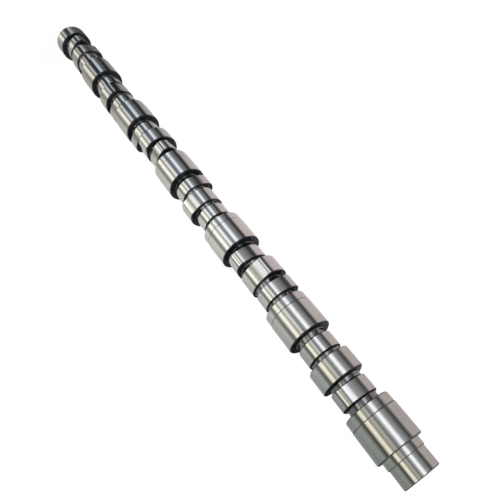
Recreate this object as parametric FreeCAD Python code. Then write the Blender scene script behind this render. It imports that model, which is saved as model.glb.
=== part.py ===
import FreeCAD, Part
import math
import os

# Camshaft of a six-cylinder diesel engine, turned and ground from one steel bar.
# Millimetres and degrees. The shaft stands on its rear face, which lies on z = 0, and its
# axis is the Z axis; the gear seat is at the top. Cylinder 1 and journal 1 are next to the
# gear seat. Angles run counter-clockwise seen from the gear seat, from the X axis, which
# halves the angle between the two valve lobes of cylinder 1.

# Layout along the shaft
firing_order = (1, 5, 3, 6, 2, 4)
cylinder_pitch = 165.0
valve_lobe_offset = 34.0
rear_journal_length = 32.0
bearing_length = 42.0
relief_length = 14.5
valve_lobe_length = 23.5
injector_lobe_length = 30.5
collar_length = 10.5
gear_seat_length = 24.0

# Diameters and the steps between them
journal_diameter = 63.5
relief_depth = 0.6
relief_taper = 1.2
lobe_clearance = 0.5
neck_depth = 3.1
collar_diameter = 51.6
gear_seat_diameter = 49.0

# Valve lobes: a base circle, two flank arcs and a nose arc
front_valve_lift = 7.3
front_valve_nose_radius = 15.5
front_valve_flank_radius = 55.0
rear_valve_lift = 6.7
rear_valve_nose_radius = 14.5
rear_valve_flank_radius = 57.0
valve_lobe_half_spread = 56.0

# Injector lobes: a long dwell at full lift, and two corner arcs, a steep and a gentle flank arc
# down to the base circle
injector_lift = 6.0
injector_corner_radius = 8.0
injector_steep_flank_radius = 95.0
injector_gentle_flank_radius = 56.0
injector_dwell_half_angle = 76.5
injector_lobe_angle = -81.5

# Edges, key slot and the centres that the shaft is turned and ground between
edge_bevel = 1.2
seat_bevel = 1.0
collar_bevel = 0.8
root_fillet = 1.5
fillet_wall_share = 0.9
key_width = 6.35
key_cutter_radius = 9.5
key_depth = 5.2
key_angle = 90.0
centre_mouth_diameter = 12.0
centre_pilot_diameter = 5.0
centre_pilot_length = 7.0
centre_cone_angle = 60.0

# Worked out from the above
cylinder_count = len(firing_order)
firing_step = 360.0 / cylinder_count
journal_radius = journal_diameter / 2
relief_radius = journal_radius - relief_depth
journal_length = bearing_length + relief_length
lobe_top_radius = journal_radius - lobe_clearance
neck_radius = lobe_top_radius - max(front_valve_lift, rear_valve_lift, injector_lift) - neck_depth
collar_radius = collar_diameter / 2
gear_seat_radius = gear_seat_diameter / 2
lowest_cylinder = rear_journal_length + (cylinder_pitch - journal_length) / 2
collar_base = rear_journal_length + cylinder_count * cylinder_pitch
gear_seat_base = collar_base + collar_length
overall_length = gear_seat_base + gear_seat_length
necks = (
    valve_lobe_offset - (valve_lobe_length + injector_lobe_length) / 2,
    (cylinder_pitch - journal_length - valve_lobe_length) / 2 - valve_lobe_offset,
)
root_radius = min(
    root_fillet,
    fillet_wall_share * (neck_depth - edge_bevel),
    fillet_wall_share * min(necks) / 2,
)


def cylinder_height(number):
    return lowest_cylinder + (cylinder_count - number) * cylinder_pitch


def firing_angle(number):
    return firing_order.index(number) * firing_step


def polar(radius, degrees):
    turn = math.radians(degrees)
    return FreeCAD.Vector(radius * math.cos(turn), radius * math.sin(turn), 0)


def arc(centre, radius, start, end):
    points = [centre + polar(radius, angle) for angle in (start, (start + end) / 2, end)]
    return Part.Arc(*points).toShape()


def direction(vector):
    return math.degrees(math.atan2(vector.y, vector.x))


def lobe_side(lift, corner_radius, flank_radius, start, way):
    """Flank arc of a lobe from the corner arc, whose middle line is at the angle start, down to the
    base circle, and the angles of both ends; way is 1 for the left side and -1 for the right."""
    corner_offset = lobe_top_radius - corner_radius
    flank_offset = flank_radius - lobe_top_radius + lift
    flank_to_corner = flank_radius - corner_radius
    span = math.degrees(math.acos(
        (flank_to_corner**2 - flank_offset**2 - corner_offset**2) / (2 * flank_offset * corner_offset)
    ))
    end = start + way * span
    flank_centre = polar(-flank_offset, end)
    meeting = direction(polar(corner_offset, start) - flank_centre)
    return arc(flank_centre, flank_radius, meeting, end), meeting, end


def lobe_outline(lift, corner_radius, left_flank_radius, right_flank_radius, dwell=0.0):
    """Outline of a lobe that stays at full lift for the angle dwell to each side of +X."""
    left_flank, left_meeting, left_end = lobe_side(lift, corner_radius, left_flank_radius, dwell, 1)
    right_flank, right_meeting, right_end = lobe_side(
        lift, corner_radius, right_flank_radius, -dwell, -1
    )
    axis = FreeCAD.Vector(0, 0, 0)
    left_corner = polar(lobe_top_radius - corner_radius, dwell)
    right_corner = polar(lobe_top_radius - corner_radius, -dwell)
    if dwell > 0:
        top = [
            arc(right_corner, corner_radius, right_meeting, -dwell),
            arc(axis, lobe_top_radius, -dwell, dwell),
            arc(left_corner, corner_radius, dwell, left_meeting),
        ]
    else:
        top = [arc(left_corner, corner_radius, right_meeting, left_meeting)]
    base = arc(axis, lobe_top_radius - lift, left_end, right_end + 360)
    return Part.Wire([*top, left_flank, base, right_flank])


def lobe(outline, length, middle, angle):
    """A bevelled lobe, centred on the height middle and turned to its angle."""
    blank = Part.Face(outline).extrude(FreeCAD.Vector(0, 0, length))
    rims = [edge for edge in blank.Edges if edge.BoundBox.ZLength < edge_bevel / 2]
    solid = blank.makeChamfer(edge_bevel, rims)
    solid.rotate(FreeCAD.Vector(0, 0, 0), FreeCAD.Vector(0, 0, 1), angle)
    solid.translate(FreeCAD.Vector(0, 0, middle - length / 2))
    return solid


def lobes_of(number):
    """Front valve lobe, injector lobe and rear valve lobe of one cylinder."""
    middle = cylinder_height(number)
    turn = firing_angle(number)
    front = lobe_outline(
        front_valve_lift, front_valve_nose_radius, front_valve_flank_radius, front_valve_flank_radius
    )
    injector = lobe_outline(
        injector_lift, injector_corner_radius, injector_steep_flank_radius,
        injector_gentle_flank_radius, injector_dwell_half_angle,
    )
    rear = lobe_outline(
        rear_valve_lift, rear_valve_nose_radius, rear_valve_flank_radius, rear_valve_flank_radius
    )
    return [
        lobe(front, valve_lobe_length, middle + valve_lobe_offset, turn - valve_lobe_half_spread),
        lobe(injector, injector_lobe_length, middle, turn + injector_lobe_angle),
        lobe(rear, valve_lobe_length, middle - valve_lobe_offset, turn + valve_lobe_half_spread),
    ]


def journal_section(number):
    """Half section of a full journal: a relieved band below the bearing band."""
    bottom = cylinder_height(number) + (cylinder_pitch - journal_length) / 2
    step = bottom + relief_length
    top = bottom + journal_length
    return [
        (neck_radius, bottom),
        (relief_radius - edge_bevel, bottom),
        (relief_radius, bottom + edge_bevel),
        (relief_radius, step - relief_taper),
        (journal_radius, step),
        (journal_radius, top - edge_bevel),
        (journal_radius - edge_bevel, top),
    ]


def round_body():
    """Journals, necks, collar and gear seat, revolved as one section."""
    section = [
        (0, 0),
        (journal_radius - edge_bevel, 0),
        (journal_radius, edge_bevel),
        (journal_radius, rear_journal_length - edge_bevel),
        (journal_radius - edge_bevel, rear_journal_length),
        (neck_radius, rear_journal_length),
    ]
    for number in range(cylinder_count, 0, -1):
        section += journal_section(number)
        if number > 1:
            section.append((neck_radius, section[-1][1]))
    section += [
        (collar_radius, collar_base),
        (collar_radius, gear_seat_base - collar_bevel),
        (collar_radius - collar_bevel, gear_seat_base),
        (gear_seat_radius, gear_seat_base),
        (gear_seat_radius, overall_length - seat_bevel),
        (gear_seat_radius - seat_bevel, overall_length),
        (0, overall_length),
        (0, 0),
    ]
    points = [FreeCAD.Vector(radius, 0, height) for radius, height in section]
    face = Part.Face(Part.makePolygon(points))
    return face.revolve(FreeCAD.Vector(0, 0, 0), FreeCAD.Vector(0, 0, 1), 360)


def centre_hole(height, inward):
    """A lathe centre: a pilot drilling with a conical mouth, inward being +1 up or -1 down."""
    mouth = centre_mouth_diameter / 2
    pilot = centre_pilot_diameter / 2
    cone_depth = (mouth - pilot) / math.tan(math.radians(centre_cone_angle / 2))
    way = FreeCAD.Vector(0, 0, inward)
    seat = FreeCAD.Vector(0, 0, height)
    cone = Part.makeCone(mouth, pilot, cone_depth, seat, way)
    drilling = Part.makeCylinder(pilot, cone_depth + centre_pilot_length, seat, way)
    return cone.fuse(drilling)


def key_slot():
    """Half-round key slot in the gear seat, as the disc of its cutter."""
    outward = polar(1, key_angle)
    across = polar(1, key_angle + 90)
    hub = outward * (gear_seat_radius - key_depth + key_cutter_radius)
    hub.z = gear_seat_base + gear_seat_length / 2
    return Part.makeCylinder(key_cutter_radius, key_width, hub - across * (key_width / 2), across)


def neck_rims(solid):
    """Circles where a neck meets the flat side of a journal or a lobe."""
    circles = [edge for edge in solid.Edges if isinstance(edge.Curve, Part.Circle)]
    return [edge for edge in circles if abs(edge.Curve.Radius - neck_radius) < relief_depth / 10]


def camshaft():
    lobes = [solid for number in firing_order for solid in lobes_of(number)]
    shaft = round_body().fuse(lobes).removeSplitter()
    shaft = shaft.makeFillet(root_radius, neck_rims(shaft))
    shaft = shaft.cut([centre_hole(0, 1), centre_hole(overall_length, -1), key_slot()])
    return shaft.Solids[0]


os.makedirs("parts", exist_ok=True)
camshaft().exportStep("parts/camshaft.step")
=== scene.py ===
import math
from collections import namedtuple

import bpy
from mathutils import Matrix, Vector


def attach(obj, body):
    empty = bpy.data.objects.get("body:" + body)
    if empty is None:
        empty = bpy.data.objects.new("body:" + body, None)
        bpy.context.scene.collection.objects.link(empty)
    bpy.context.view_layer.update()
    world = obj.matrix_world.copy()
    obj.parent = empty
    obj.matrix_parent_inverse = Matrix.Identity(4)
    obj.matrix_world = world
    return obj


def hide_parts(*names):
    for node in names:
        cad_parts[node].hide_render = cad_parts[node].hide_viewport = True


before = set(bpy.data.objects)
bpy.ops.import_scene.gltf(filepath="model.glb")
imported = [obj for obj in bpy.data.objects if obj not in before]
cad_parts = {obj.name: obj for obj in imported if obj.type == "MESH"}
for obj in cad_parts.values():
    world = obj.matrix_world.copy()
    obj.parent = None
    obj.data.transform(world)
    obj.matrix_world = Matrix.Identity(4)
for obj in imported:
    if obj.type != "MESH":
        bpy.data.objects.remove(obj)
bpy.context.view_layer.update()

# Sizes of the camshaft in millimetres and degrees. It stands on its rear face, at z = 0,
# and cylinder 1 is next to the gear seat at the top.
FIRING_ORDER = (1, 5, 3, 6, 2, 4)
CYLINDERS = len(FIRING_ORDER)
PITCH = 165.0
REAR_JOURNAL = 32.0
BEARING = 42.0
RELIEF = 14.5
VALVE_LENGTH = 23.5
INJECTOR_LENGTH = 30.5
VALVE_OFFSET = 34.0
COLLAR = 10.5
GEAR_SEAT = 24.0

JOURNAL_R = 31.75
RELIEF_R = 31.15
RELIEF_TAPER = 1.2
TOP_R = 31.25
NECK_R = 20.85
COLLAR_R = 25.8
GEAR_SEAT_R = 24.5

# A lobe stays at full lift for its dwell to each side of its middle, and a corner arc and a
# flank arc lead down from there to the base circle on either side
Lobe = namedtuple("Lobe", "base corner left_flank right_flank dwell")
FRONT_VALVE = Lobe(23.95, 15.5, 55.0, 55.0, 0.0)
REAR_VALVE = Lobe(24.55, 14.5, 57.0, 57.0, 0.0)
INJECTOR = Lobe(25.25, 8.0, 95.0, 56.0, 76.5)
VALVE_SPREAD = 56.0
INJECTOR_TURN = -81.5

BEVEL = 1.2
COLLAR_BEVEL = 0.8
SEAT_BEVEL = 1.0
ROOT = 1.5
CENTRE_MOUTH_R = 6.0
CENTRE_PILOT_R = 2.5
CENTRE_PILOT = 7.0
CENTRE_SLOPE = 30.0
KEY_WIDTH = 6.35
KEY_CUTTER_R = 9.5
KEY_DEPTH = 5.2
KEY_TURN = 90.0

JOURNAL = BEARING + RELIEF
LOWEST_CYLINDER = REAR_JOURNAL + (PITCH - JOURNAL) / 2
COLLAR_BASE = REAR_JOURNAL + CYLINDERS * PITCH
SEAT_BASE = COLLAR_BASE + COLLAR
TOTAL = SEAT_BASE + GEAR_SEAT

MM = 0.001

# How finely the mesh is divided, and the angle in degrees from which an edge is sharp
AROUND = 256
ROOT_STEPS = 3
CUTTER_STEPS = 96
MERGE_DISTANCE = 1e-6
SHARP_EDGE = 25.0

# Each zone of the shaft has its own steel. The neck, side and edge steels are darker than the ground
# steel: painted shade for the shade between lobes and for the dark side faces and bevels.
FINISHES_AND_PAINTED_SHADES = ("ground_journal", "polished_lobe", "turned_neck_painted_shade", "turned_side_painted_shade", "satin_edge_painted_shade")
JOURNAL_FACE, LOBE_FACE, NECK, SIDE, EDGE = range(len(FINISHES_AND_PAINTED_SHADES))

# The photo's camera: its focal length in pixels of the picture, the eye's distance from the
# axis and its height above the collar's base in pitches, its direction in degrees, the turns of
# the camera in radians, and a usual sensor width and near limit
PICTURE_PX = 500.0
FOCAL_PX = 471.31
EYE_DISTANCE = 3.6435
EYE_ABOVE = 0.12
EYE_AZIMUTH = -93.5
LOOK_DOWN = 0.51999
LOOK_TILT = 0.01706
LOOK_ROLL = 0.8947
SENSOR = 36.0
NEAR_LIMIT = 0.01


class Value:
    """A number socket of a node tree that can be used in Python expressions."""

    def __init__(self, net, socket):
        self.net = net
        self.socket = socket

    def math(self, operation, *others):
        inputs = dict(enumerate((self, *others)))
        node = self.net.node("ShaderNodeMath", {"operation": operation}, inputs)
        return Value(self.net, node.outputs[0])

    def __add__(self, other):
        return self.math("ADD", other)

    def __sub__(self, other):
        return self.math("SUBTRACT", other)

    def __mul__(self, other):
        return self.math("MULTIPLY", other)

    def __truediv__(self, other):
        return self.math("DIVIDE", other)

    def __lt__(self, other):
        return self.math("LESS_THAN", other)

    def __gt__(self, other):
        return self.math("GREATER_THAN", other)

    def __rsub__(self, other):
        return self * -1.0 + other

    __radd__ = __add__
    __rmul__ = __mul__

    def either(self, true, false):
        """true where this mask is 1, and false where it is 0."""
        return self * true + (1.0 - self) * false


class Net:
    """A node tree that is filled one node at a time."""

    def __init__(self, tree):
        self.tree = tree
        tree.nodes.clear()

    def node(self, kind, settings=None, inputs=None):
        node = self.tree.nodes.new(kind)
        for name, value in (settings or {}).items():
            setattr(node, name, value)
        for name, value in (inputs or {}).items():
            socket = node.inputs[name]
            if isinstance(value, Value):
                value = value.socket
            if isinstance(value, bpy.types.NodeSocket):
                self.tree.links.new(value, socket)
            else:
                socket.default_value = value
        return node

    def value(self, socket):
        return Value(self, socket)


def mesh_object(name, vertices, edges, faces):
    mesh = bpy.data.meshes.new(name)
    mesh.from_pydata(vertices, edges, faces)
    thing = bpy.data.objects.new(name, mesh)
    bpy.context.scene.collection.objects.link(thing)
    return thing


def baked(thing):
    """The object with its modifiers worked into a plain mesh."""
    bpy.context.view_layer.update()
    graph = bpy.context.evaluated_depsgraph_get()
    mesh = bpy.data.meshes.new_from_object(thing.evaluated_get(graph), depsgraph=graph)
    thing.modifiers.clear()
    thing.data = mesh
    return thing


def flat(degrees):
    turn = math.radians(degrees)
    return Vector((math.cos(turn), math.sin(turn), 0.0))


# The section of the shaft has one ring for each corner, from the rear end to the gear seat.
# A ring is a circle of its radius, or a lobe's outline that is set in by its inset, and it
# gives the finish of the face above it.
Ring = namedtuple("Ring", "height radius finish lobe turn inset", defaults=(None, 0.0, 0.0))


def cylinder_height(number):
    return LOWEST_CYLINDER + (CYLINDERS - number) * PITCH


def firing_angle(number):
    return FIRING_ORDER.index(number) * 360.0 / CYLINDERS


def root(height, way):
    """Fillet between a neck and the flat side at this height; way is 1 for the side below it."""
    rings = []
    for step in range(ROOT_STEPS + 1):
        turn = math.radians(90.0 * step / ROOT_STEPS)
        rise = way * ROOT * (1 - math.sin(turn))
        rings.append(Ring(height + rise, NECK_R + ROOT * (1 - math.cos(turn)), NECK))
    if way > 0:
        rings.reverse()
        return rings
    rings[-1] = rings[-1]._replace(finish=SIDE)
    return rings


def lobe(middle, length, form, turn):
    low = middle - length / 2
    high = middle + length / 2
    return [
        *root(low, -1),
        Ring(low, 0.0, SIDE, form, turn, BEVEL),
        Ring(low + BEVEL, 0.0, LOBE_FACE, form, turn),
        Ring(high - BEVEL, 0.0, SIDE, form, turn),
        Ring(high, 0.0, SIDE, form, turn, BEVEL),
        *root(high, 1),
    ]


def journal(low, bevel_finish):
    """A full journal: a relieved band at its lower end, and the bearing band above it."""
    step = low + RELIEF
    high = low + JOURNAL
    return [
        *root(low, -1),
        Ring(low, RELIEF_R - BEVEL, SIDE),
        Ring(low + BEVEL, RELIEF_R, JOURNAL_FACE),
        Ring(step - RELIEF_TAPER, RELIEF_R, SIDE),
        Ring(step, JOURNAL_R, JOURNAL_FACE),
        Ring(high - BEVEL, JOURNAL_R, bevel_finish),
        Ring(high, JOURNAL_R - BEVEL, SIDE),
    ]


def section():
    cone = (CENTRE_MOUTH_R - CENTRE_PILOT_R) / math.tan(math.radians(CENTRE_SLOPE))
    rings = [
        Ring(cone + CENTRE_PILOT, 0.0, SIDE),
        Ring(cone + CENTRE_PILOT, CENTRE_PILOT_R, SIDE),
        Ring(cone, CENTRE_PILOT_R, SIDE),
        Ring(0.0, CENTRE_MOUTH_R, EDGE),
        Ring(0.0, JOURNAL_R - BEVEL, SIDE),
        Ring(BEVEL, JOURNAL_R, JOURNAL_FACE),
        Ring(REAR_JOURNAL - BEVEL, JOURNAL_R, SIDE),
        Ring(REAR_JOURNAL, JOURNAL_R - BEVEL, SIDE),
        *root(REAR_JOURNAL, 1),
    ]
    for number in range(CYLINDERS, 0, -1):
        middle = cylinder_height(number)
        turn = firing_angle(number)
        rings += lobe(middle - VALVE_OFFSET, VALVE_LENGTH, REAR_VALVE, turn + VALVE_SPREAD)
        rings += lobe(middle, INJECTOR_LENGTH, INJECTOR, turn + INJECTOR_TURN)
        rings += lobe(middle + VALVE_OFFSET, VALVE_LENGTH, FRONT_VALVE, turn - VALVE_SPREAD)
        rings += journal(middle + (PITCH - JOURNAL) / 2, SIDE if number > 1 else EDGE)
        if number > 1:
            rings += root(middle + (PITCH + JOURNAL) / 2, 1)
    rings += [
        Ring(COLLAR_BASE, COLLAR_R, JOURNAL_FACE),
        Ring(SEAT_BASE - COLLAR_BEVEL, COLLAR_R, EDGE),
        Ring(SEAT_BASE, COLLAR_R - COLLAR_BEVEL, SIDE),
        Ring(SEAT_BASE, GEAR_SEAT_R, JOURNAL_FACE),
        Ring(TOTAL - SEAT_BEVEL, GEAR_SEAT_R, EDGE),
        Ring(TOTAL, GEAR_SEAT_R - SEAT_BEVEL, EDGE),
        Ring(TOTAL, CENTRE_MOUTH_R, SIDE),
        Ring(TOTAL - cone, CENTRE_PILOT_R, SIDE),
        Ring(TOTAL - cone - CENTRE_PILOT, CENTRE_PILOT_R, SIDE),
        Ring(TOTAL - cone - CENTRE_PILOT, 0.0, SIDE),
    ]
    return rings


def section_line(rings):
    """The rings as a line of points that carry what the wrapping tree asks for."""
    line = mesh_object(
        "camshaft_section",
        [(ring.radius * MM, 0.0, ring.height * MM) for ring in rings],
        [(i, i + 1) for i in range(len(rings) - 1)],
        [],
    )
    forms = [ring.lobe or FRONT_VALVE for ring in rings]
    columns = {
        "height": [ring.height * MM for ring in rings],
        "radius": [ring.radius * MM for ring in rings],
        "lobed": [float(ring.lobe is not None) for ring in rings],
        "turn": [math.radians(ring.turn) for ring in rings],
        "inset": [ring.inset * MM for ring in rings],
        "base": [form.base * MM for form in forms],
        "corner": [form.corner * MM for form in forms],
        "left_flank": [form.left_flank * MM for form in forms],
        "right_flank": [form.right_flank * MM for form in forms],
        "dwell": [math.radians(form.dwell) for form in forms],
        "finish": [float(ring.finish) for ring in rings],
    }
    for name, values in columns.items():
        line.data.attributes.new(name, "FLOAT", "POINT").data.foreach_set("value", values)
    return line


def ray_to_circle(angle, offset, radius):
    """How far a ray from the axis goes to the far side of a circle, whose centre lies at this
    offset from the axis and is turned from the ray by this angle."""
    across = angle.math("SINE") * offset
    inside = (radius * radius - across * across).math("MAXIMUM", 0.0)
    return angle.math("COSINE") * offset + inside.math("SQRT")


def direction(turn, offset, length):
    """Angle of the point that lies this length away, at this turn, from a centre at the offset."""
    return (turn.math("SINE") * length).math("ARCTAN2", offset + turn.math("COSINE") * length)


def lobe_reach(aside, top, base, corner, flank, dwell, inset):
    """Radius of a lobe at the angle aside from its middle."""
    past = aside - dwell
    offset = top - corner
    reach = flank - base
    span = flank - corner
    cosine = (span * span - reach * reach - offset * offset) / (reach * offset * 2.0)
    action = cosine.math("ARCCOSINE")
    meeting = direction(action, offset, reach)
    corner_end = direction(meeting, offset, corner)
    on_corner = ray_to_circle(past, offset, corner - inset)
    on_flank = ray_to_circle(past - action, reach * -1.0, flank - inset)
    below_corner = (past < action).either(on_flank, base - inset)
    below_dwell = (past < corner_end).either(on_corner, below_corner)
    return (past < 0.0).either(top - inset, below_dwell)


TREE_INPUTS = {
    "Section": "NodeSocketGeometry",
    "Rings": "NodeSocketInt",
    "Steps Around": "NodeSocketInt",
    "Lobe Top": "NodeSocketFloat",
}


def wrapping_tree(materials):
    """The tree that wraps the section round the axis."""
    tree = bpy.data.node_groups.new("wrap_section", "GeometryNodeTree")
    net = Net(tree)
    for name, kind in TREE_INPUTS.items():
        tree.interface.new_socket(name, in_out="INPUT", socket_type=kind)
    tree.interface.new_socket("Shaft", in_out="OUTPUT", socket_type="NodeSocketGeometry")
    given = net.node("NodeGroupInput")
    rings = net.value(given.outputs["Rings"])
    steps = net.value(given.outputs["Steps Around"])
    top = net.value(given.outputs["Lobe Top"])

    grid = net.node("GeometryNodeMeshGrid", None, {
        "Size X": rings - 1.0, "Size Y": math.tau, "Vertices X": rings, "Vertices Y": steps + 1.0,
    })
    spot = net.node("GeometryNodeInputPosition").outputs[0]
    place = net.node("ShaderNodeSeparateXYZ", None, {0: spot})
    ring = net.value(place.outputs[0]) + (rings - 1.0) / 2.0
    angle = net.value(place.outputs[1])

    def carried(name, at):
        """What the section's ring at this index carries under this name."""
        field = net.node("GeometryNodeInputNamedAttribute", {"data_type": "FLOAT"}, {"Name": name})
        sample = net.node("GeometryNodeSampleIndex", {"data_type": "FLOAT", "domain": "POINT"}, {
            "Geometry": given.outputs["Section"], "Value": field.outputs["Attribute"], "Index": at,
        })
        return net.value(sample.outputs[0])

    # A face's finish is noted before the grid is bent, while its middle still gives its ring
    noted = net.node("GeometryNodeStoreNamedAttribute", {"data_type": "FLOAT", "domain": "FACE"}, {
        "Geometry": grid.outputs["Mesh"],
        "Name": "face_finish",
        "Value": carried("finish", ring.math("FLOOR")),
    })

    nearest = (ring + 0.5).math("FLOOR")
    aside = (angle - carried("turn", nearest)).math("WRAP", math.pi, -math.pi)
    left = carried("left_flank", nearest)
    right = carried("right_flank", nearest)
    base, corner, dwell, inset = (carried(n, nearest) for n in ("base", "corner", "dwell", "inset"))
    flank = (aside > 0.0).either(left, right)
    on_lobe = lobe_reach(aside.math("ABSOLUTE"), top, base, corner, flank, dwell, inset)
    reach = carried("lobed", nearest).either(on_lobe, carried("radius", nearest))
    bent = net.node("ShaderNodeCombineXYZ", None, {
        0: angle.math("COSINE") * reach,
        1: angle.math("SINE") * reach,
        2: carried("height", nearest),
    })
    surface = net.node("GeometryNodeSetPosition", None, {
        "Geometry": noted.outputs[0], "Position": bent.outputs[0],
    }).outputs[0]
    surface = net.node("GeometryNodeMergeByDistance", None, {
        "Geometry": surface, "Distance": MERGE_DISTANCE,
    }).outputs[0]
    surface = net.node("GeometryNodeRealizeInstances", None, {"Geometry": surface}).outputs[0]
    finish = net.node("GeometryNodeInputNamedAttribute", {"data_type": "FLOAT"}, {"Name": "face_finish"})
    finish = net.value(finish.outputs["Attribute"])
    for number, material in enumerate(materials):
        surface = net.node("GeometryNodeSetMaterial", None, {
            "Geometry": surface,
            "Selection": (finish - float(number)).math("ABSOLUTE") < 0.5,
            "Material": material,
        }).outputs[0]
    net.node("NodeGroupOutput", None, {0: surface})
    return tree


def shaft(materials):
    """The wrapped shaft as a plain mesh, before its key slot is cut."""
    rings = section()
    thing = section_line(rings)
    tree = wrapping_tree(materials)
    modifier = thing.modifiers.new("wrap", "NODES")
    modifier.node_group = tree
    sizes = {"Rings": len(rings), "Steps Around": AROUND, "Lobe Top": TOP_R * MM}
    for socket in tree.interface.items_tree:
        if socket.name in sizes:
            modifier[socket.identifier] = sizes[socket.name]
    baked(thing)
    thing.data.attributes.remove(thing.data.attributes["face_finish"])
    return thing


def key_cutter(material):
    """The disc of the cutter that sinks the half-round key slot."""
    outward, across = flat(KEY_TURN), flat(KEY_TURN + 90)
    upward = Vector((0, 0, 1))
    hub = outward * (GEAR_SEAT_R - KEY_DEPTH + KEY_CUTTER_R) + upward * (SEAT_BASE + GEAR_SEAT / 2)
    points = []
    for side in (-1, 1):
        for step in range(CUTTER_STEPS):
            turn = math.tau * step / CUTTER_STEPS
            rim = outward * math.cos(turn) + upward * math.sin(turn)
            points.append((hub + rim * KEY_CUTTER_R + across * (side * KEY_WIDTH / 2)) * MM)
    faces = []
    for step in range(CUTTER_STEPS):
        following = (step + 1) % CUTTER_STEPS
        faces.append((step, following, CUTTER_STEPS + following, CUTTER_STEPS + step))
    faces.append(tuple(range(CUTTER_STEPS))[::-1])
    faces.append(tuple(range(CUTTER_STEPS, 2 * CUTTER_STEPS)))
    cutter = mesh_object("key_cutter", points, [], faces)
    cutter.data.materials.append(material)
    return cutter


def cut_key_slot(thing, material):
    """Sinks the key slot into the gear seat; its walls get the material."""
    cutter = key_cutter(material)
    cut = thing.modifiers.new("key_slot", "BOOLEAN")
    cut.operation = "DIFFERENCE"
    cut.solver = "EXACT"
    cut.material_mode = "TRANSFER"
    cut.object = cutter
    baked(thing)
    bpy.data.objects.remove(cutter)


def outward_facing(thing):
    """Turns the faces round if the closed mesh is inside out."""
    mesh = thing.data
    mesh.calc_loop_triangles()
    volume = sum(
        mesh.vertices[a].co.dot(mesh.vertices[b].co.cross(mesh.vertices[c].co))
        for a, b, c in (t.vertices for t in mesh.loop_triangles)
    )
    if volume < 0:
        mesh.flip_normals()


def place_camera():
    """Puts the camera where the photo was taken from."""
    towards = flat(EYE_AZIMUTH)
    away = Vector((0, 0, -1))
    side = away.cross(towards)
    sight = -math.cos(LOOK_DOWN) * towards + math.sin(LOOK_DOWN) * away
    right = sight.cross(side).normalized()
    top = right.cross(sight).normalized()
    tilted = math.cos(LOOK_TILT) * sight + math.sin(LOOK_TILT) * top
    top = -math.sin(LOOK_TILT) * sight + math.cos(LOOK_TILT) * top
    rolled = math.cos(LOOK_ROLL) * right + math.sin(LOOK_ROLL) * top
    top = -math.sin(LOOK_ROLL) * right + math.cos(LOOK_ROLL) * top
    data = bpy.data.cameras.new("camera")
    data.sensor_fit = "HORIZONTAL"
    data.sensor_width = SENSOR
    data.lens = SENSOR * FOCAL_PX / PICTURE_PX
    data.clip_start = NEAR_LIMIT
    camera = bpy.data.objects.new("camera", data)
    place = towards * (EYE_DISTANCE * PITCH) + Vector((0, 0, COLLAR_BASE + EYE_ABOVE * PITCH))
    turn = Matrix((rolled, top, -tilted)).transposed().to_4x4()
    camera.matrix_world = Matrix.Translation(place * MM) @ turn
    bpy.context.scene.collection.objects.link(camera)
    bpy.context.scene.camera = camera


# Bare steel has fine marks that run round the shaft, a soft cloud and a grain. Marks and grain
# make its bumps, marks and cloud vary its shine, and grain and cloud mottle its tone. The scales
# are those of the noise, per metre.
MARK_SCALE_ACROSS = 14.0
CLOUD_SCALE = 38.0
GRAIN_SCALE = 620.0
GRAIN_IN_TONE = 0.65
CLOUD_IN_TONE = 0.35
DARKEST_TONE = 0.74
LIGHTEST_TONE = 1.24
CLOUD_IN_SHINE = 0.8
MIDDLE_OF_SHINE = 0.9
GRAIN_IN_BUMP = 2.5
BUMP_STRENGTH = 0.35
QUARTER_TURN = 0.25


def noise(net, place, scale, detail, roughness):
    """Noise over this place, which lies between 0 and 1."""
    node = net.node("ShaderNodeTexNoise", None, {
        "Vector": place, "Scale": scale, "Detail": detail, "Roughness": roughness,
    })
    return net.value(node.outputs[0])


def steel(name, colour, roughness, marks_per_m, mark_height, spread, lay=0.0, glancing_painted_shade=1.0):
    """Bare steel: spread is how much its roughness varies, lay is how far the marks stretch
    its highlights across them, and glancing below 1 dims what it mirrors along low sight lines, which
    paints shade."""
    material = bpy.data.materials.new(name)
    material.use_nodes = True
    net = Net(material.node_tree)
    place = net.node("ShaderNodeTexCoord").outputs["Object"]
    stretched = net.node("ShaderNodeMapping", None, {
        "Vector": place, "Scale": (MARK_SCALE_ACROSS, MARK_SCALE_ACROSS, marks_per_m),
    })
    marks = noise(net, stretched.outputs[0], 1.0, 3.0, 0.6)
    cloud = noise(net, place, CLOUD_SCALE, 4.0, 0.55)
    grain = noise(net, place, GRAIN_SCALE, 2.0, 0.6)
    shine = marks * spread + cloud * (spread * CLOUD_IN_SHINE) + (roughness - spread * MIDDLE_OF_SHINE)
    tone = net.node("ShaderNodeMix", {"data_type": "RGBA"}, {
        "Factor": grain * GRAIN_IN_TONE + cloud * CLOUD_IN_TONE,
        "A": (*[c * DARKEST_TONE for c in colour], 1.0),
        "B": (*[c * LIGHTEST_TONE for c in colour], 1.0),
    })
    bump = net.node("ShaderNodeBump", None, {
        "Height": marks + grain * GRAIN_IN_BUMP, "Strength": BUMP_STRENGTH, "Distance": mark_height,
    })
    surface = net.node("ShaderNodeBsdfPrincipled", None, {
        "Base Color": tone.outputs["Result"],
        "Metallic": 1.0,
        "Roughness": shine,
        "Normal": bump.outputs[0],
        "Anisotropic": lay,
        "Anisotropic Rotation": QUARTER_TURN,
        "Specular Tint": (glancing_painted_shade, glancing_painted_shade, glancing_painted_shade, 1.0),
    })
    net.node("ShaderNodeOutputMaterial", None, {"Surface": surface.outputs[0]})
    return material


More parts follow.
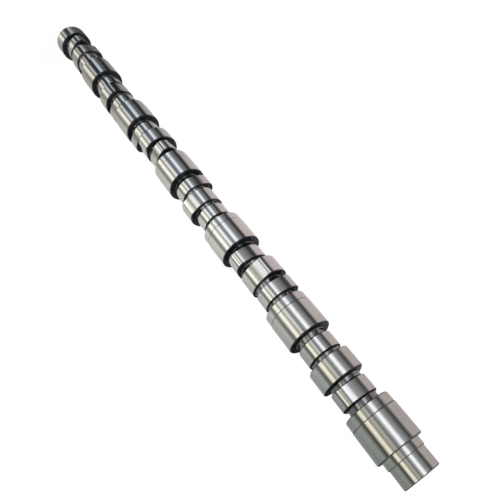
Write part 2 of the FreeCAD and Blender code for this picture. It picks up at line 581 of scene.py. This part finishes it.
# The studio round the shaft is a fan of long soft panels that only reflections show. Each
# panel is given at four stations along the shaft: next to the gear seat, at the middle, above
# the rear end and at it. Its turn there is that of the steel that mirrors it, in degrees from
# the eye towards +X, its strength is 1 for white, and its tint is given there too. Between
# panels the light fades over. A station is given as a share of the eye's height.
STATIONS = (0.96, 0.64, 0.17, 0.02)
Panel = namedtuple("Panel", "turns strengths tints")
ROSE = ((1.0, 0.905, 0.87), (1.0, 0.89, 0.89), (1.0, 0.98, 0.96), (1.0, 0.98, 0.96))
GREY = ((1.0, 0.97, 0.88), (1.0, 1.0, 1.0), (1.0, 1.0, 1.0), (0.95, 1.0, 1.0))
SKY = ((0.96, 0.975, 1.0), (0.93, 0.96, 1.0), (0.88, 0.94, 1.0), (0.94, 0.98, 1.0))
SLATE = ((0.94, 0.98, 1.0), (0.82, 0.88, 1.0), (0.58, 0.74, 1.0), (0.78, 0.93, 1.0))
IVORY = ((1.0, 0.95, 0.79), (1.0, 0.985, 0.92), (1.0, 0.95, 0.83), (1.0, 0.98, 0.90))
OLIVE = ((1.0, 0.98, 0.74), (1.0, 0.99, 0.92), (1.0, 0.97, 0.84), (1.0, 0.99, 0.92))
SAGE = ((0.93, 1.0, 0.95), (1.0, 0.99, 0.93), (1.0, 0.98, 0.90), (1.0, 0.98, 0.92))
PANELS = (
    Panel((-90, -90, -90, -90), (0.13, 0.14, 0.05, 0.02), ROSE),
    Panel((-74, -74, -78, -75), (0.52, 0.85, 0.45, 0.08), ROSE),
    Panel((-43.5, -40.5, -56, -59), (0.58, 0.80, 0.36, 0.10), ROSE),
    Panel((-34, -31.5, -42, -38), (0.10, 0.05, 0.010, 0.12), GREY),
    Panel((-20, -17, -24, -26), (0.42, 0.40, 0.15, 0.28), SKY),
    Panel((-11.5, -8.5, -14, -20), (1.60, 1.70, 1.02, 0.68), SKY),
    Panel((-2, -2, -7, -10), (0.34, 0.47, 0.045, 0.045), SLATE),
    Panel((0.5, 1, 1, -2), (0.28, 0.43, 0.075, 0.10), SLATE),
    Panel((5.5, 8, 8.5, 8.5), (0.60, 1.65, 0.86, 0.76), GREY),
    Panel((10, 14.5, 13.5, 14), (0.40, 0.62, 0.24, 0.18), OLIVE),
    Panel((17, 22, 23, 23.5), (1.37, 1.85, 1.36, 1.32), IVORY),
    Panel((26, 32.5, 35, 37), (0.09, 0.28, 0.34, 0.50), OLIVE),
    Panel((38, 44, 50, 55), (0.38, 0.98, 0.50, 0.45), SAGE),
    Panel((58, 62, 68, 75), (0.31, 0.76, 0.55, 0.40), SAGE),
    Panel((76, 76, 80, 82), (0.38, 0.74, 0.50, 0.30), SAGE),
    Panel((90, 90, 90, 90), (0.09, 0.11, 0.05, 0.02), SAGE),
)
# Folds in the panels' cloth: how much light they take and add, how close they lie and how
# they lean
FOLDS = ((0.06, 1.05, 5.0), (0.06, 2.3, -9.0))

# The panels lie just above the floor out to their reach, and then stand up. They are divided at
# these lengths and heights, in millimetres, and every half degree round the shaft.
PANEL_LIFT = 2.0
PANEL_STEP = 0.5
PANEL_REACH = 900.0
PANEL_TOP = 1085.0
PANEL_CEILING = 3000.0
LYING = (0.0, 4.0, 9.0, 16.0, 28.0, 48.0, 80.0, 130.0, 210.0, 340.0, 560.0, PANEL_REACH)
STANDING = (300.0, 600.0, 850.0, PANEL_TOP)
OVER_PANELS = (PANEL_TOP + 5.0, 1250.0, 1450.0, 1700.0, PANEL_CEILING)

# Over the panels the room is dark. Their light spills up by one height in front of the shaft
# and by another behind it; the front ends at a turn and fades over some degrees. A high window
# stands behind the shaft, between two places across the line of sight.
OVERHEAD = (0.010, 0.012, 0.014)
CEILING = (0.26, 0.27, 0.28)
FRONT_SPILL = 1300.0
BACK_SPILL = 260.0
SPILL_TURN = 78.0
SPILL_FADE = 10.0
WINDOW = (3.0, 3.3, 3.7)
WINDOW_FROM = -95.0
WINDOW_TO = -22.0
WINDOW_HEIGHT = 300.0
WINDOW_CRISPNESS = 3.0


def between(amounts, share):
    """The amount at this share of the eye's height, from those of the stations."""
    share = min(STATIONS[0], max(STATIONS[-1], share))
    for index in range(len(STATIONS) - 1):
        if share >= STATIONS[index + 1]:
            break
    part = (STATIONS[index] - share) / (STATIONS[index] - STATIONS[index + 1])
    return amounts[index] + (amounts[index + 1] - amounts[index]) * part


def shown(panel, share):
    """Colour of a panel at this share of the eye's height."""
    strength = between(panel.strengths, share)
    return tuple(strength * between(tones, share) for tones in zip(*panel.tints))


def glow(turned, share):
    """Colour that the fan shows to steel of this turn at this share of the eye's height."""
    fold = 1.0 + sum(depth * math.sin(turned * pitch + share * lean) for depth, pitch, lean in FOLDS)
    for low, high in zip(PANELS, PANELS[1:]):
        start = between(low.turns, share)
        end = between(high.turns, share)
        if turned <= end:
            part = max(0.0, (turned - start) / (end - start))
            part = part * part * (3 - 2 * part)
            dim, lit = shown(low, share), shown(high, share)
            return tuple(fold * (a * (1 - part) + b * part) for a, b in zip(dim, lit))
    return tuple(fold * tone for tone in shown(PANELS[-1], share))


def over_panels(turned, spot, height):
    """Colour of the room over the panels, at a spot of the floor plan and a height."""
    if height >= PANEL_CEILING:
        return CEILING
    over = height - PANEL_TOP
    front = min(1.0, max(0.0, (SPILL_TURN - abs(turned)) / SPILL_FADE))
    spill = max(0.0, front * (1.0 - over / FRONT_SPILL), 1.0 - over / BACK_SPILL)
    lit = 0.0
    if spot.dot(flat(EYE_AZIMUTH)) < 0:
        place = spot.dot(flat(EYE_AZIMUTH + 90))
        past_middle = abs(2.0 * place - WINDOW_FROM - WINDOW_TO) / (WINDOW_TO - WINDOW_FROM)
        lit = min(1.0, WINDOW_CRISPNESS * max(0.0, 1.0 - past_middle))
        lit *= max(0.0, 1.0 - over / WINDOW_HEIGHT)
    return tuple(a + b * lit + c * spill for a, b, c in zip(OVERHEAD, WINDOW, glow(turned, 1.0)))


def panel_column(turned):
    """Points and colours of the panels that steel of this turn mirrors. They lead away in the
    mirrored direction, so that each panel keeps its width along the shaft."""
    eye_distance = EYE_DISTANCE * PITCH
    eye_height = COLLAR_BASE + EYE_ABOVE * PITCH
    start = flat(turned + EYE_AZIMUTH) * JOURNAL_R
    sight = math.degrees(math.atan2(
        JOURNAL_R * math.sin(math.radians(turned)),
        eye_distance - JOURNAL_R * math.cos(math.radians(turned)),
    ))
    way = flat(2 * turned + sight + EYE_AZIMUTH)
    column = []
    for length in LYING:
        share = length / (eye_distance + length)
        column.append((start + way * length + Vector((0, 0, PANEL_LIFT)), glow(turned, share)))
    end = start + way * PANEL_REACH
    slope = PANEL_REACH / eye_distance
    for height in STANDING:
        share = min(1.0, (height / eye_height + slope) / (1 + slope))
        column.append((end + Vector((0, 0, height)), glow(turned, share)))
    for height in OVER_PANELS:
        column.append((end + Vector((0, 0, height)), over_panels(turned, end, height)))
    column.append((Vector((0, 0, PANEL_CEILING)), CEILING))
    return column


def panel_light():
    """A material that shines with the colours of its mesh."""
    material = bpy.data.materials.new("panel_light")
    material.use_nodes = True
    net = Net(material.node_tree)
    colour = net.node("ShaderNodeVertexColor", {"layer_name": "glow"})
    light = net.node("ShaderNodeEmission", None, {"Color": colour.outputs["Color"]})
    net.node("ShaderNodeOutputMaterial", None, {"Surface": light.outputs[0]})
    return material


def panel_fan():
    """All panels as one sheet round the shaft."""
    columns = [panel_column(-90.0 + index * PANEL_STEP) for index in range(int(180 / PANEL_STEP) + 1)]
    columns.append(columns[0])
    rows = len(columns[0])
    points = [point * MM for column in columns for point, colour in column]
    colours = [(*colour, 1.0) for column in columns for point, colour in column]
    faces = []
    for c in range(len(columns) - 1):
        for r in range(rows - 1):
            a = c * rows + r
            faces.append((a, a + 1, a + rows + 1, a + rows))
    thing = mesh_object("panels", points, [], faces)
    layer = thing.data.color_attributes.new("glow", "FLOAT_COLOR", "POINT")
    layer.data.foreach_set("color", [c for colour in colours for c in colour])
    thing.data.materials.append(panel_light())
    thing.visible_camera = False
    thing.visible_diffuse = False
    thing.visible_transmission = False
    thing.visible_volume_scatter = False
    thing.visible_shadow = False


# The floor is almost white to the eye and in reflections, and keeps the shaft's shadow
FLOOR_HALF = 15.0
FLOOR_TONE = (0.94, 0.94, 0.94, 1.0)
FLOOR_SHOWN_WHITE = 0.93
WHITE = (1.0, 1.0, 1.0, 1.0)
LAMP_SIZE = 1.6
LAMP_POWER = 35.0
LAMP_PLACE = Vector((-1.6, 0.4, 2.6))
LAMP_AIM = Vector((0.0, 0.0, 0.4))


def shown_white(net):
    """1 for the rays in which the floor shows white."""
    path = net.node("ShaderNodeLightPath")
    kinds = ("Is Camera Ray", "Is Glossy Ray", "Is Transmission Ray")
    seen = sum(net.value(path.outputs[name]) for name in kinds)
    return seen.math("MINIMUM", 1.0)


def white_floor():
    """A pale floor that shows white and keeps the shadow."""
    corners = [(x * FLOOR_HALF, y * FLOOR_HALF, 0) for x, y in ((-1, -1), (1, -1), (1, 1), (-1, 1))]
    floor = mesh_object("floor", corners, [], [(0, 1, 2, 3)])
    material = bpy.data.materials.new("floor_white")
    material.use_nodes = True
    net = Net(material.node_tree)
    lit = net.node("ShaderNodeBsdfDiffuse", None, {"Color": FLOOR_TONE})
    white = net.node("ShaderNodeEmission", None, {"Color": WHITE})
    blend = net.node("ShaderNodeMixShader", None, {
        0: shown_white(net) * FLOOR_SHOWN_WHITE, 1: lit.outputs[0], 2: white.outputs[0],
    })
    net.node("ShaderNodeOutputMaterial", None, {"Surface": blend.outputs[0]})
    floor.data.materials.append(material)


def white_surroundings():
    world = bpy.data.worlds.new("studio")
    bpy.context.scene.world = world
    world.use_nodes = True
    net = Net(world.node_tree)
    background = net.node("ShaderNodeBackground", None, {"Color": WHITE, "Strength": 1.0})
    net.node("ShaderNodeOutputWorld", None, {"Surface": background.outputs[0]})


def soft_lamp():
    """One large lamp for the floor's soft shadow, which the steel doesn't mirror."""
    lamp = bpy.data.lights.new("soft_lamp", "AREA")
    lamp.shape = "RECTANGLE"
    lamp.size = LAMP_SIZE
    lamp.size_y = LAMP_SIZE
    lamp.energy = LAMP_POWER
    light = bpy.data.objects.new("soft_lamp", lamp)
    light.location = LAMP_PLACE
    light.rotation_euler = (LAMP_AIM - LAMP_PLACE).to_track_quat("-Z", "Y").to_euler()
    light.visible_glossy = False
    bpy.context.scene.collection.objects.link(light)


journal_steel = steel(
    FINISHES_AND_PAINTED_SHADES[JOURNAL_FACE], (0.62, 0.62, 0.61),
    roughness=0.08, marks_per_m=1400.0, mark_height=0.000016, spread=0.04,
)
lobe_steel = steel(
    FINISHES_AND_PAINTED_SHADES[LOBE_FACE], (0.62, 0.62, 0.61),
    roughness=0.075, marks_per_m=1100.0, mark_height=0.000016, spread=0.04,
)
# Neck steel is darker than the journals' steel: painted shade for the shade that the lobes cast into the
# necks between them.
neck_steel_painted_shade = steel(
    FINISHES_AND_PAINTED_SHADES[NECK], (0.28, 0.287, 0.293),
    roughness=0.08, marks_per_m=900.0, mark_height=0.00001, spread=0.04,
)
# Side steel is far darker than the journals' steel and dims its glancing reflections: painted shade for
# the black side faces and the dark slits between lobes.
side_steel_painted_shade = steel(
    FINISHES_AND_PAINTED_SHADES[SIDE], (0.115, 0.122, 0.133),
    roughness=0.28, marks_per_m=500.0, mark_height=0.000004, spread=0.03, lay=0.85, glancing_painted_shade=0.4,
)
# Edge steel has a real satin roughness, and its darker colour is painted shade for the dark bevels.
edge_steel_painted_shade = steel(
    FINISHES_AND_PAINTED_SHADES[EDGE], (0.34, 0.33, 0.31),
    roughness=0.45, marks_per_m=500.0, mark_height=0.000004, spread=0.03,
)

bpy.context.scene.view_settings.view_transform = "Standard"
place_camera()
camshaft = shaft((journal_steel, lobe_steel, neck_steel_painted_shade, side_steel_painted_shade, edge_steel_painted_shade))
outward_facing(camshaft)
cut_key_slot(camshaft, side_steel_painted_shade)
camshaft.name = "camshaft_finished"
camshaft.data.shade_smooth()
camshaft.data.set_sharp_from_angle(angle=math.radians(SHARP_EDGE))
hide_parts("camshaft")
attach(camshaft, "root")

panel_fan()
white_floor()
white_surroundings()
soft_lamp()
